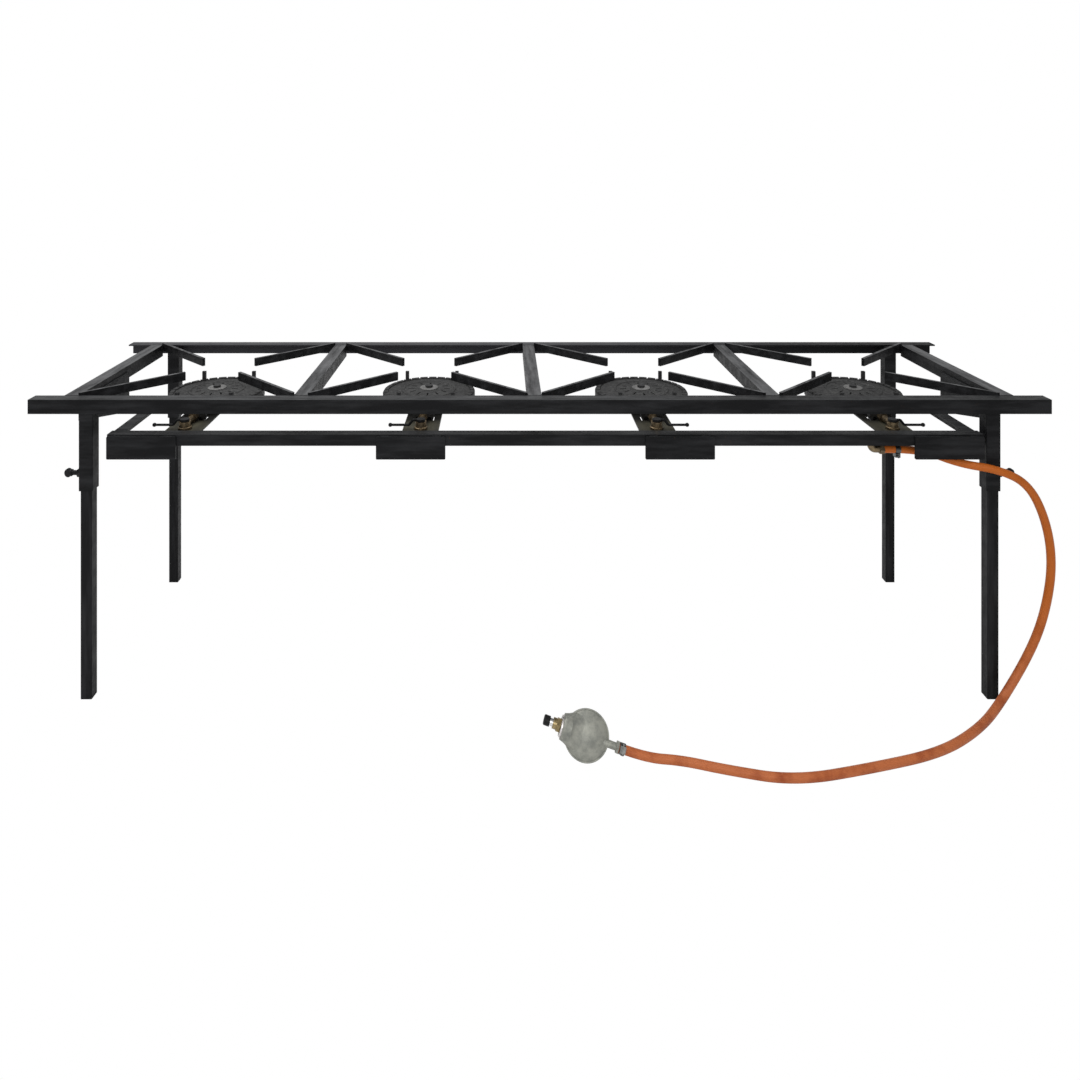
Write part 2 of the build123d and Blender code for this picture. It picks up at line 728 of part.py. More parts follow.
# Gas rail, a pipe with a boss under each tap and one over the inlet elbow
manifold_left = burner_places[0] - manifold_end
manifold_length = burner_places[-1] + manifold_end - manifold_left
boss_top_z = strap_under_z - manifold_gap
elbow_top_z = manifold_z - manifold_radius - elbow_boss_length
with BuildPart() as gas_rail:
    with BuildSketch(Plane(origin=(manifold_left, tap_y, manifold_z), x_dir=(0, 1, 0), z_dir=(1, 0, 0))):
        Circle(manifold_radius)
    extrude(amount=manifold_length)
    with BuildSketch(Plane.XY.offset(manifold_z)):
        with Locations([(place, tap_y) for place in burner_places]):
            Circle(manifold_boss_radius)
    extrude(amount=boss_top_z - manifold_z)
    with BuildSketch(Plane.XY.offset(elbow_top_z)):
        with Locations((elbow_x, tap_y)):
            Circle(manifold_boss_radius)
    extrude(amount=manifold_z - elbow_top_z)
    bore_plane = Plane(
        origin=(manifold_left + manifold_wall, tap_y, manifold_z), x_dir=(0, 1, 0), z_dir=(1, 0, 0)
    )
    with BuildSketch(bore_plane):
        Circle(manifold_radius - manifold_wall)
    extrude(amount=manifold_length - 2 * manifold_wall, mode=Mode.SUBTRACT)
save(gas_rail, "gas_rail")

# Inlet elbow, from the gas rail down and round to the hose
hose_start_z = top_z - elbow_drop
with BuildPart() as inlet_elbow:
    with BuildLine() as elbow_path:
        FilletPolyline(
            (elbow_x, tap_y, elbow_top_z),
            (elbow_x, tap_y, hose_start_z),
            (elbow_x + elbow_reach, tap_y, hose_start_z),
            radius=elbow_radius,
        )
    with BuildSketch(Plane(origin=(elbow_x, tap_y, elbow_top_z), z_dir=(0, 0, -1))):
        Circle(elbow_radius - overrun)
    sweep(path=elbow_path.line)
    collar_x = elbow_x + elbow_reach - elbow_collar_length
    with BuildSketch(Plane(origin=(collar_x, tap_y, hose_start_z), x_dir=(0, 1, 0), z_dir=(1, 0, 0))):
        RegularPolygon(elbow_collar_radius, 6)
    extrude(amount=elbow_collar_length)
save(inlet_elbow, "inlet_elbow")

# The regulator's own directions: along its ports, out of its face, and its middle above the floor
lean = radians(regulator_lean)
roll = radians(regulator_roll)
up_face = Vector(0, sin(lean), cos(lean))
port_dir = Vector(1, 0, 0) * cos(roll) - up_face * sin(roll)
face_dir = Vector(0, -cos(lean), sin(lean))
regulator_z = regulator_radius * cos(lean) + regulator_flange * sin(lean)
regulator_middle = Vector(regulator_x, regulator_y, regulator_z)
regulator_section = Plane(origin=regulator_middle, x_dir=port_dir, z_dir=port_dir.cross(face_dir))
face_axis = Axis(regulator_middle, face_dir)
port_axis = Axis(regulator_middle, port_dir)


def port_plane(reach):
    return Plane(origin=regulator_middle + port_dir * reach, x_dir=face_dir, z_dir=port_dir)


# Hose route: chosen points from the elbow, under the front plate, out past the leg and over the floor
hose_floor = hose_radius
hose_end = regulator_middle + port_dir * outlet_end
hose_touch = regulator_middle + port_dir * (outlet_end + (hose_end.Z - hose_floor) / -port_dir.Z)
hose_start = Vector(elbow_x + elbow_reach, tap_y, hose_start_z)
beside_leg = Vector(socket_x, front_y, hose_start_z)
over_floor = Vector(socket_x, front_y, hose_floor)
hose_route = [
    hose_start,
    hose_start + Vector(68, 0, 0),
    beside_leg + Vector(-55, 15, -17),
    beside_leg + Vector(-3, -16, -15),
    beside_leg + Vector(50, -15, -41),
    beside_leg + Vector(84, -9, -107),
    beside_leg + Vector(96, -8, -183),
    beside_leg + Vector(84, -7, -267),
    beside_leg + Vector(58, -7, -337),
    over_floor + Vector(0, -15, 0),
    over_floor + Vector(-72, -77, 0),
    over_floor + Vector(-164, -130, 0),
    over_floor + Vector(-285, -161, 0),
    over_floor + Vector(-418, -188, 0),
    over_floor + Vector(-520, -165, 0),
    over_floor + Vector(-582, -146, 0),
    hose_touch,
    hose_end,
]


def bend_radii(route):
    radii = []
    for before, corner, after in zip(route, route[1:], route[2:]):
        into, out = corner - before, after - corner
        half_turn = radians(into.get_angle(out)) / 2
        radii.append(0.45 * min(into.length, out.length) / tan(half_turn))
    return radii


hose_bends = bend_radii(hose_route)
runs = [(after - before).length for before, after in zip(hose_route, hose_route[1:])]
print("hose runs", [round(run) for run in runs])
print("hose bend radii", [round(radius) for radius in hose_bends])
with BuildPart() as gas_hose:
    with BuildLine() as hose_path:
        FilletPolyline(*hose_route, radius=hose_bends)
    with BuildSketch(Plane(origin=hose_start, x_dir=(0, 1, 0), z_dir=(1, 0, 0))):
        Circle(hose_radius)
    sweep(path=hose_path.line)
save(gas_hose, "gas_hose")
hose_length = hose_path.wires()[0].length
hose_volume = hose_length * pi * hose_radius**2
print("hose length", round(hose_length), "volume ratio", round(gas_hose.part.volume / hose_volume, 4))

# Worm-drive clips, one on each end of the hose
clip_bore = hose_radius + clip_gap
clip_outer = clip_bore + clip_band
clip_planes = [
    Plane(origin=hose_start + Vector(clip_offset, 0, 0), x_dir=(0, 0, -1), z_dir=(1, 0, 0)),
    Plane(origin=hose_end + port_dir * regulator_clip_offset, x_dir=face_dir, z_dir=port_dir),
]
with BuildPart() as hose_clips:
    for clip_plane in clip_planes:
        with BuildSketch(clip_plane):
            Circle(clip_outer)
            with Locations((clip_outer + clip_screw_height / 2 - clip_band, 0)):
                Rectangle(clip_screw_height, clip_screw_width)
            Circle(clip_bore, mode=Mode.SUBTRACT)
        extrude(amount=clip_width)
        screw_middle = clip_plane.from_local_coords((clip_outer + clip_screw_height / 2, 0, clip_width / 2))
        screw_plane = Plane(origin=screw_middle, x_dir=clip_plane.x_dir, z_dir=clip_plane.y_dir)
        with BuildSketch(screw_plane.offset(-clip_screw_length / 2)):
            Circle(clip_screw_radius)
        extrude(amount=clip_screw_length)
save(hose_clips, "hose_clips")

# Regulator body: the back shell with its inlet boss and ring, outlet neck and hexagon collar
with BuildPart() as regulator_body:
    with BuildSketch(regulator_section):
        with BuildLine():
            Polyline(
                (0, -regulator_back_depth),
                (regulator_back_radius, -regulator_back_depth),
                (regulator_shell_radius, -regulator_shoulder),
                (regulator_shell_radius, -regulator_flange),
                (regulator_radius, -regulator_flange),
                (regulator_radius, 0),
                (0, 0),
                close=True,
            )
        make_face()
    revolve(axis=face_axis)
    with BuildSketch(regulator_section):
        with BuildLine():
            Polyline(
                (-inlet_ring_end, 0),
                (-inlet_ring_end, -inlet_ring_radius),
                (-inlet_boss_end, -inlet_ring_radius),
                (-inlet_boss_end, -inlet_boss_radius),
                (-inlet_boss_start, -inlet_boss_radius),
                (-inlet_boss_start, -outlet_neck_radius),
                (outlet_neck_end, -outlet_neck_radius),
                (outlet_neck_end, 0),
                close=True,
            )
        make_face()
    revolve(axis=port_axis)
    with BuildSketch(port_plane(outlet_neck_end)):
        RegularPolygon(outlet_collar_flats / 2, 6, major_radius=False)
    extrude(amount=outlet_end - outlet_neck_end)
save(regulator_body, "regulator_body")

# Regulator cover: a smooth shallow dome inside a thin flange, cut away round the ports
with BuildPart() as regulator_cover:
    with BuildSketch(regulator_section):
        with BuildLine():
            Polyline(
                (0, 0),
                (regulator_radius, 0),
                (regulator_radius, regulator_flange),
                (regulator_dome_radius, regulator_flange),
            )
            TangentArc((0, regulator_dome), (regulator_dome_radius, regulator_flange), tangent=(1, 0))
            Line((0, regulator_dome), (0, 0))
        make_face()
    revolve(axis=face_axis)
    add(regulator_body.part, mode=Mode.SUBTRACT)
save(regulator_cover, "regulator_cover")

# Inlet spigot: the shaft that the union nut turns on, and the round end that holds it there
with BuildPart() as regulator_spigot:
    with BuildSketch(regulator_section):
        with BuildLine():
            Polyline(
                (-inlet_ring_end, 0),
                (-inlet_ring_end, shaft_radius),
                (-spigot_start, shaft_radius),
                (-spigot_start, spigot_radius),
                (-spigot_end, spigot_radius),
                (-spigot_end, 0),
                close=True,
            )
        make_face()
    revolve(axis=port_axis)
save(regulator_spigot, "regulator_spigot")

# Black rubber tip on the end of the spigot
with BuildPart() as regulator_tip:
    with BuildSketch(port_plane(-spigot_end)):
        Circle(tip_radius)
    extrude(amount=spigot_end - tip_end)
    fillet(regulator_tip.faces().sort_by(port_axis)[0].edges(), radius=tip_round)
save(regulator_tip, "regulator_tip")

# Brass union nut that turns on the spigot, hexagonal at the ring and round at the nose
with BuildPart() as regulator_nut:
    with BuildSketch(port_plane(-nut_start)):
        RegularPolygon(nut_radius, 6)
    extrude(amount=nut_start - nut_step)
    with BuildSketch(port_plane(-nut_step)):
        Circle(nut_nose_radius)
    extrude(amount=nut_step - nut_end)
    with BuildSketch(port_plane(0)):
        Circle(shaft_radius + nut_fit)
    extrude(amount=-nut_end - overrun, mode=Mode.SUBTRACT)
save(regulator_nut, "regulator_nut")
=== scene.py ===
import math

import bmesh
import bpy
from bpy.props import FloatProperty, FloatVectorProperty, IntProperty, PointerProperty
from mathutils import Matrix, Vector, noise


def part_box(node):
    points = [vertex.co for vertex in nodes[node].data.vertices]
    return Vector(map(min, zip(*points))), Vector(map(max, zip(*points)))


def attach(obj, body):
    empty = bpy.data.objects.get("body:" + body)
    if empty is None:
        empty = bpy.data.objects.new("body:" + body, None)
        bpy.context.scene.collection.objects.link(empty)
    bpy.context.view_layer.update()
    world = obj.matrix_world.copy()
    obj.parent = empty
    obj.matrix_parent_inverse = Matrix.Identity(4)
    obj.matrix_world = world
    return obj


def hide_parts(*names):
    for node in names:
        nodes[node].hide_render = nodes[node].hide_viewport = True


bl_info = {
    "name": "Gas Stove",
    "version": (1, 0, 0),
    "blender": (4, 5, 0),
    "location": "View3D > Sidebar > Stove",
    "description": "Dresses a four-burner gas stove: paint, welds, castings, hose and regulator",
    "category": "Object",
}

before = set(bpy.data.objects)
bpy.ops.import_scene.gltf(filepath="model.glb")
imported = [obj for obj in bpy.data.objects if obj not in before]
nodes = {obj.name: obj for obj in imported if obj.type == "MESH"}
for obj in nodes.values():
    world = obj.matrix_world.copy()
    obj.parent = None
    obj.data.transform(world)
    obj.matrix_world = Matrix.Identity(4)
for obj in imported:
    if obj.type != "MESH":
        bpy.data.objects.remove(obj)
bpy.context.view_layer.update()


# Property helpers

def colour(name, rgb, description):
    return FloatVectorProperty(
        name=name, description=description, subtype="COLOR", size=3, min=0.0, max=1.0, default=rgb
    )


def length(name, metres, description):
    return FloatProperty(
        name=name, description=description, unit="LENGTH", min=0.0, default=metres
    )


def place(name, metres, description):
    return FloatVectorProperty(
        name=name, description=description, subtype="TRANSLATION", size=3, default=metres
    )


def power(name, watts, description):
    return FloatProperty(name=name, description=description, unit="POWER", default=watts)


class PaintSettings(bpy.types.PropertyGroup):
    paint: colour("Paint", (0.0048, 0.0049, 0.0054), "Black paint of the steel frame")
    worn: colour("Thin paint", (0.0150, 0.0153, 0.0165), "Paint where it is thin or chalky")
    # Dust on upward faces, with a painted highlight on the lit tops
    dust: colour("Dust", (0.062, 0.063, 0.065), "Dust on upward faces")
    # Dust and heat bloom with a painted sheen on the cross bars' tops
    bloom_and_sheen: colour("Bloom", (0.096, 0.097, 0.100), "Dust and heat bloom on the cross bars")
    # Lighter paint of the back rail on the left, painted light from the left
    back_rail_lit_paint: colour("Haze", (0.024, 0.024, 0.027), "Paint of the back rail, bleached by the heat")
    strap: colour("Strap", (0.050, 0.047, 0.033), "Olive scale on the burner straps")
    # Painted shadow on the straps under the burners
    strap_painted_shadow: colour("Strap soot", (0.008, 0.0078, 0.007), "Soot on the straps by the burners")
    strap_dark: colour("Strap scale", (0.022, 0.021, 0.017), "Darker scale on the burner straps")
    rust: colour("Rust", (0.085, 0.038, 0.017), "Light rust at welds and edges")


class WeldSettings(bpy.types.PropertyGroup):
    bead_radius: length("Bead", 0.0016, "Radius of a weld bead")
    ripple: length("Ripple", 0.0021, "Distance between two ripples of a weld bead")


class ScrewSettings(bpy.types.PropertyGroup):
    screw_radius: length("Screw radius", 0.004, "Radius of the clamp screws")
    screw_pitch: length("Pitch", 0.00125, "Pitch of the clamp screws' thread")
    thread_rise: length("Thread rise", 0.00035, "How far the thread stands out")


class BurnerSettings(bpy.types.PropertyGroup):
    iron: colour("Cast iron", (0.012, 0.012, 0.013), "Rough cast iron of the bowls")
    iron_light: colour("Cast iron skin", (0.040, 0.040, 0.040), "Lighter casting skin")
    cap: colour("Burner cap", (0.012, 0.012, 0.0125), "Cast iron of the caps")
    cap_light: colour("Cap skin", (0.055, 0.055, 0.054), "Bright ridges of the caps")
    washer: colour("Washer", (0.18, 0.178, 0.175), "Worn steel of the washer under each bolt")
    washer_radius: length("Washer radius", 0.018, "Radius of the washer under each bolt")
    washer_height: length("Washer height", 0.0015, "Thickness of the washer under each bolt")
    count: IntProperty(name="Burners", description="How many stand in the row", default=4, min=1)
    pitch: length("Burner pitch", 0.426, "Distance between two burners")


class GasSettings(bpy.types.PropertyGroup):
    brass: colour("Brass", (0.185, 0.140, 0.084), "Brass of the taps and fittings")
    brass_dark: colour("Tarnish", (0.072, 0.056, 0.038), "Tarnished brass")
    shutter: colour("Shutter", (0.055, 0.054, 0.052), "Sooty steel of the air shutters")
    shutter_dark: colour("Shutter soot", (0.022, 0.021, 0.020), "Soot on the air shutters")
    zinc: colour("Zinc plate", (0.115, 0.115, 0.11), "Dull zinc plate of the hose clips")
    hose: colour("Hose", (0.35, 0.102, 0.036), "Orange rubber of the hose")
    hose_dark: colour("Hose shade", (0.23, 0.052, 0.016), "Darker patches of the hose")
    hose_clean: colour("Clean hose", (0.33, 0.078, 0.005), "The hose where it hangs free of dust")
    hose_radius: length("Hose radius", 0.007, "Outer radius of the hose")


class RegulatorSettings(bpy.types.PropertyGroup):
    shell: colour("Shell", (0.254, 0.256, 0.223), "Grey metal of the regulator")
    shell_dark: colour("Shell shade", (0.14, 0.145, 0.13), "Darker mottling of the regulator")
    nut: colour("Union nut", (0.27, 0.210, 0.110), "Brass of the union nut")
    spigot: colour("Spigot", (0.55, 0.55, 0.55), "Bright plate of the spigot")
    ring: colour("Ring", (0.60, 0.57, 0.56), "Bright ring in front of the inlet boss")
    rim_radius: length("Rim radius", 0.035, "Radius of the rolled rim of the cover")
    rim_bead: length("Rim bead", 0.0013, "Half the thickness of the rolled rim")
    tip: colour("Tip", (0.006, 0.006, 0.006), "Black rubber of the tip")


class StageSettings(bpy.types.PropertyGroup):
    camera: place("Camera", (-0.0654, -1.6445, 0.984), "Where the camera stands")
    focal: FloatProperty(name="Focal length", description="Lens in millimetres", default=27.27)
    sensor: FloatProperty(name="Sensor", description="Width in millimetres", default=36.0)
    shift_x: FloatProperty(name="Shift X", description="Lens shift to the right", default=0.0347)
    shift_y: FloatProperty(name="Shift Y", description="Lens shift upward", default=-0.369)
    key: power("Key", 70.0, "Power of the overhead lamp")
    key_size: length("Key size", 2.4, "Side of the overhead lamp")
    key_place: place("Key place", (-0.6, 0.2, 2.6), "Where the overhead lamp hangs")
    fill: power("Fill", 45.0, "Power of the front lamp")
    fill_size: length("Fill size", 2.0, "Side of the front lamp")
    fill_place: place("Fill place", (-0.2, -2.8, 1.7), "Where the front lamp stands")
    lamp_target: place("Lamp target", (0.0, 0.0, 0.4), "What both lamps point at")
    sky: FloatProperty(name="Sky", description="Strength of the plain sky", default=0.55)
    floor: colour("Floor", (0.90, 0.90, 0.90), "Pale floor, as the pieces see it")
    floor_radius: length("Floor radius", 30.0, "How far the floor reaches")
    floor_drop: length("Floor drop", 0.0004, "How far the floor lies under the feet")


# Finishes

def shader_of(material):
    return material.node_tree.nodes["Principled BSDF"]


def add_node(material, kind, **inputs):
    node = material.node_tree.nodes.new(kind)
    for key, value in inputs.items():
        node.inputs[key.replace("_", " ")].default_value = value
    return node


def add_math(tree, operation):
    node = tree.nodes.new("ShaderNodeMath")
    node.operation = operation
    return node


def join(material, output, socket):
    material.node_tree.links.new(output, socket)


def coordinates(material, kind="Object"):
    """The places or, as "Normal", the directions of the piece's faces, in its own frame."""
    found = material.node_tree.nodes.get("Texture Coordinate")
    if found is None:
        found = material.node_tree.nodes.new("ShaderNodeTexCoord")
    return found.outputs[kind]


def mottle(material, scale, detail=4.0, roughness=0.6, stretch=None):
    """A noise between 0 and 1 over the piece, drawn out along an axis where stretch is given."""
    cloud = add_node(
        material, "ShaderNodeTexNoise", Scale=scale, Detail=detail, Roughness=roughness
    )
    source = coordinates(material)
    if stretch is not None:
        mapping = add_node(material, "ShaderNodeMapping", Scale=stretch)
        join(material, source, mapping.inputs["Vector"])
        source = mapping.outputs["Vector"]
    join(material, source, cloud.inputs["Vector"])
    return cloud.outputs["Fac"]


def levels(material, source, low, high, out_low=0.0, out_high=1.0):
    """Takes the values from low to high to those from out_low to out_high."""
    node = add_node(
        material, "ShaderNodeMapRange",
        From_Min=low, From_Max=high, To_Min=out_low, To_Max=out_high,
    )
    join(material, source, node.inputs["Value"])
    return node.outputs["Result"]


def patches(material, low, high, **noise_inputs):
    """Patches of noise: nothing up to low, one from high on."""
    return levels(material, mottle(material, **noise_inputs), low, high)


def product(material, first, second):
    """Multiplies an output by a number or by another output."""
    node = add_math(material.node_tree, "MULTIPLY")
    join(material, first, node.inputs[0])
    if isinstance(second, float):
        node.inputs[1].default_value = second
    else:
        join(material, second, node.inputs[1])
    return node.outputs[0]


def blend_colours(material, amount, first, second):
    """Mixes two colours, each a tuple or another mix's output."""
    node = material.node_tree.nodes.new("ShaderNodeMix")
    node.data_type = "RGBA"
    factor, first_colour, second_colour, blend = (
        node.inputs[0], node.inputs[6], node.inputs[7], node.outputs[2]
    )
    join(material, amount, factor)
    for socket, tone in ((first_colour, first), (second_colour, second)):
        if isinstance(tone, bpy.types.NodeSocket):
            join(material, tone, socket)
        else:
            socket.default_value = (*tone, 1.0)
    return blend


def part_of(material, source, axis, *ramp):
    """A ramp over one part, X, Y or Z, of a place or direction, given as levels takes it."""
    split = material.node_tree.nodes.new("ShaderNodeSeparateXYZ")
    join(material, source, split.inputs["Vector"])
    return levels(material, split.outputs[axis], *ramp)


def facing_up(material):
    """One on upward faces and nothing on the rest."""
    slanting, nearly_level = 0.55, 0.95
    return part_of(material, coordinates(material, "Normal"), "Z", slanting, nearly_level)


def along(material, axis, *ramp):
    """A ramp along an axis of the piece."""
    return part_of(material, coordinates(material), axis, *ramp)


def start_finish(name, metallic=0.0, specular=0.5):
    material = bpy.data.materials.new(name)
    material.use_nodes = True
    shader = shader_of(material)
    shader.inputs["Metallic"].default_value = metallic
    shader.inputs["Specular IOR Level"].default_value = specular
    return material


def set_colour(material, output):
    join(material, output, shader_of(material).inputs["Base Color"])


def lay_over(material, amount, tone):
    """Blends a finish's colour into another tone."""
    under = shader_of(material).inputs["Base Color"].links[0].from_socket
    set_colour(material, blend_colours(material, amount, under, tone))


def set_rough(material, scale, smoothest, roughest):
    """Lets the roughness wander between two values with a noise of this scale."""
    usual_low, usual_high = 0.3, 0.7
    wander = levels(material, mottle(material, scale), usual_low, usual_high, smoothest, roughest)
    join(material, wander, shader_of(material).inputs["Roughness"])


def set_bump(material, height, strength, distance):
    bump = add_node(material, "ShaderNodeBump", Strength=strength, Distance=distance)
    join(material, height, bump.inputs["Height"])
    join(material, bump.outputs["Normal"], shader_of(material).inputs["Normal"])


def shaded(tone, share):
    return tuple(part * share for part in tone)


def brushed_paint(name, dust_share, rust_share, run=None, dust_ramp=None, **own_tones):
    """Brush-painted steel: thin patches, specks of rust, and dust with a painted highlight on
    top.

    Patches, dust and painted highlight are drawn out along run. With dust_ramp the dust and
    painted highlight thin out along X, a painted fall-off of the light from the left.
    Tones called paint, worn or dust take the place of the frame's.
    """
    s = bpy.context.scene.stove_paint
    tones = {"paint": s.paint, "worn": s.worn, "dust": s.dust, **own_tones}
    material = start_finish(name, specular=0.07)
    thin = patches(
        material, low=0.44, high=0.68, scale=9.0, detail=5.0, roughness=0.65, stretch=run
    )
    tone = blend_colours(material, thin, tones["paint"], tones["worn"])
    dust_scale = 34.0 if run is None else 13.0
    grains = patches(material, low=0.28, high=0.70, scale=dust_scale, detail=6.0, stretch=run)
    # Dust with a painted highlight on the upward faces
    dust_and_highlight_mask = product(material, facing_up(material), grains)
    # Painted fall-off of the light from the left: the dust and painted highlight thin out along X
    if dust_ramp is not None:
        dust_and_highlight_mask = product(material, dust_and_highlight_mask, along(material, "X", *dust_ramp))
    tone = blend_colours(material, product(material, dust_and_highlight_mask, dust_share), tone, tones["dust"])
    specks = patches(material, low=0.665, high=0.72, scale=210.0, detail=3.0, roughness=0.8)
    rusty_places = patches(material, low=0.50, high=0.62, scale=15.0, detail=3.0)
    rusty = product(material, product(material, specks, rusty_places), rust_share)
    set_colour(material, blend_colours(material, rusty, tone, s.rust))
    set_rough(material, scale=60.0, smoothest=0.34, roughest=0.56)
    brush_marks = mottle(material, scale=420.0, roughness=0.7)
    set_bump(material, brush_marks, strength=0.30, distance=0.0004)
    return material


def cast_skin(name, dark, light, grain=260.0):
    """Sand-cast iron: a pitted skin with lighter high spots."""
    material = start_finish(name, metallic=0.2, specular=0.22)
    skin = patches(material, low=0.40, high=0.68, scale=grain, detail=6.0, roughness=0.75)
    broad = patches(material, low=0.38, high=0.66, scale=22.0, detail=3.0)
    tone = blend_colours(material, skin, dark, light)
    broad_share = 0.45
    darkened = product(material, broad, broad_share)
    set_colour(material, blend_colours(material, darkened, tone, dark))
    set_rough(material, scale=90.0, smoothest=0.50, roughest=0.74)
    pits = mottle(material, scale=grain * 1.4, detail=5.0, roughness=0.8)
    set_bump(material, pits, strength=0.55, distance=0.0007)
    return material


def machined_metal(name, bright, tarnish, grain=650.0, smoothest=0.24, roughest=0.42):
    """Turned or plated metal: fine grain, with tarnish in patches."""
    material = start_finish(name, metallic=1.0)
    tarnished = patches(material, low=0.42, high=0.70, scale=70.0, detail=5.0)
    set_colour(material, blend_colours(material, tarnished, bright, tarnish))
    set_rough(material, 160.0, smoothest, roughest)
    fine_grain = mottle(material, scale=grain, detail=3.0)
    set_bump(material, fine_grain, strength=0.18, distance=0.0002)
    return material


def shell_metal(name, light, dark):
    """Mottled grey metal of the regulator's shells."""
    material = start_finish(name, metallic=0.55)
    stains = patches(material, low=0.38, high=0.66, scale=55.0, detail=5.0, roughness=0.7)
    set_colour(material, blend_colours(material, stains, light, dark))
    set_rough(material, scale=140.0, smoothest=0.46, roughest=0.62)
    dents = mottle(material, scale=330.0, roughness=0.7)
    set_bump(material, dents, strength=0.35, distance=0.0005)
    return material


def soft_rubber(name, light, dark):
    """Soft rubber: a satin skin with darker handled patches and pale scuffs."""
    material = start_finish(name, specular=0.12)
    handled = patches(material, low=0.44, high=0.66, scale=26.0)
    tone = blend_colours(material, handled, light, dark)
    scuffs = patches(material, low=0.62, high=0.74, scale=160.0, detail=5.0, roughness=0.8)
    pale = tuple(min(1.0, part * 1.45 + 0.02) for part in light)
    scuff_share = 0.5
    scuffed = product(material, scuffs, scuff_share)
    set_colour(material, blend_colours(material, scuffed, tone, pale))
    set_rough(material, scale=90.0, smoothest=0.34, roughest=0.52)
    skin = mottle(material, scale=500.0, roughness=0.7)
    set_bump(material, skin, strength=0.22, distance=0.0003)
    return material


def finish_nodes(material, *names):
    """Puts a finish on the CAD pieces whose names start with one of these."""
    found = [node for name, node in nodes.items() if name.startswith(names)]
    if not found:
        raise RuntimeError(f"no CAD piece starts with {names}")
    for node in found:
        for slot in node.material_slots:
            slot.material = material


# Mesh helpers

def new_piece(name, mesh_builder, material, body, smooth=True):
    mesh = bpy.data.meshes.new(name)
    grid = bmesh.new()
    mesh_builder(grid)
    bmesh.ops.recalc_face_normals(grid, faces=grid.faces)
    grid.to_mesh(mesh)
    grid.free()
    mesh.materials.append(material)
    if smooth:
        mesh.shade_smooth()
    piece = bpy.data.objects.new(name, mesh)
    bpy.context.scene.collection.objects.link(piece)
    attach(piece, body)


def across(direction):
    """Two unit vectors square to a direction and to each other."""
    side = direction.orthogonal().normalized()
    return side, direction.cross(side).normalized()


def turns(count):
    """Angles that share a full circle out evenly."""
    return [2 * math.pi * step / count for step in range(count)]


def add_rings(grid, rings):
    """Skins a list of rings of points and closes both ends."""
    loops = [[grid.verts.new(point) for point in ring] for ring in rings]
    for before, after in zip(loops, loops[1:]):
        for step in range(len(before)):
            following = (step + 1) % len(before)
            grid.faces.new((before[step], before[following], after[following], after[step]))
    grid.faces.new(list(reversed(loops[0])))
    grid.faces.new(loops[-1])


def add_bead(grid, start, end, radius, ripple, sides=8):
    """A weld bead between two points, rippled and a little uneven."""
    ripple_depth, steps_per_ripple = 0.14, 3
    unevenness, lumps_per_metre = 0.22, 240.0
    end_share, end_slope = 0.45, 0.5
    start, end = Vector(start), Vector(end)
    side, up = across((end - start).normalized())
    run = (end - start).length
    steps = max(4, int(run / ripple * steps_per_ripple))
    rings = []
    for step in range(steps + 1):
        share = step / steps
        middle = start.lerp(end, share)
        crest = abs(math.sin(math.pi * share * run / ripple))
        wave = 1.0 - ripple_depth * (1.0 - crest)
        uneven = 1.0 + unevenness * noise.noise(middle * lumps_per_metre)
        taper = min(1.0, end_share + end_slope * min(share, 1.0 - share) * run / radius)
        size = radius * wave * uneven * taper
        rings.append([
            middle + (side * math.cos(turn) + up * math.sin(turn)) * size for turn in turns(sides)
        ])
    add_rings(grid, rings)


def add_thread(grid, base, direction, run, radius, rise, pitch, per_turn=18):
    """A screw thread's ridge, wound round a shank from base along direction."""
    direction = Vector(direction).normalized()
    side, up = across(direction)
    root_radius = radius - rise * 0.4
    half_foot = direction * pitch * 0.42
    rings = []
    for step in range(int(run / pitch * per_turn) + 1):
        turn = 2 * math.pi * step / per_turn
        middle = Vector(base) + direction * (pitch * step / per_turn)
        outward = side * math.cos(turn) + up * math.sin(turn)
        root = outward * root_radius
        crest = outward * (radius + rise)
        rings.append([middle + root - half_foot, middle + crest, middle + root + half_foot])
    add_rings(grid, rings)


def add_hoop(grid, middle, axis, outline, sides=64):
    """Turns a closed outline of (reach, radius) pairs about an axis into a ring."""
    middle, axis = Vector(middle), Vector(axis).normalized()
    side, up = across(axis)
    loops = []
    for turn in turns(sides):
        outward = side * math.cos(turn) + up * math.sin(turn)
        loops.append([
            grid.verts.new(middle + axis * reach + outward * radius) for reach, radius in outline
        ])
    for here, there in zip(loops, loops[1:] + loops[:1]):
        for corner in range(len(outline)):
            following = (corner + 1) % len(outline)
            grid.faces.new((here[corner], here[following], there[following], there[corner]))


# Left front, right front, left back, right back
corner_signs = [(-1, -1), (1, -1), (-1, 1), (1, 1)]


# Operators

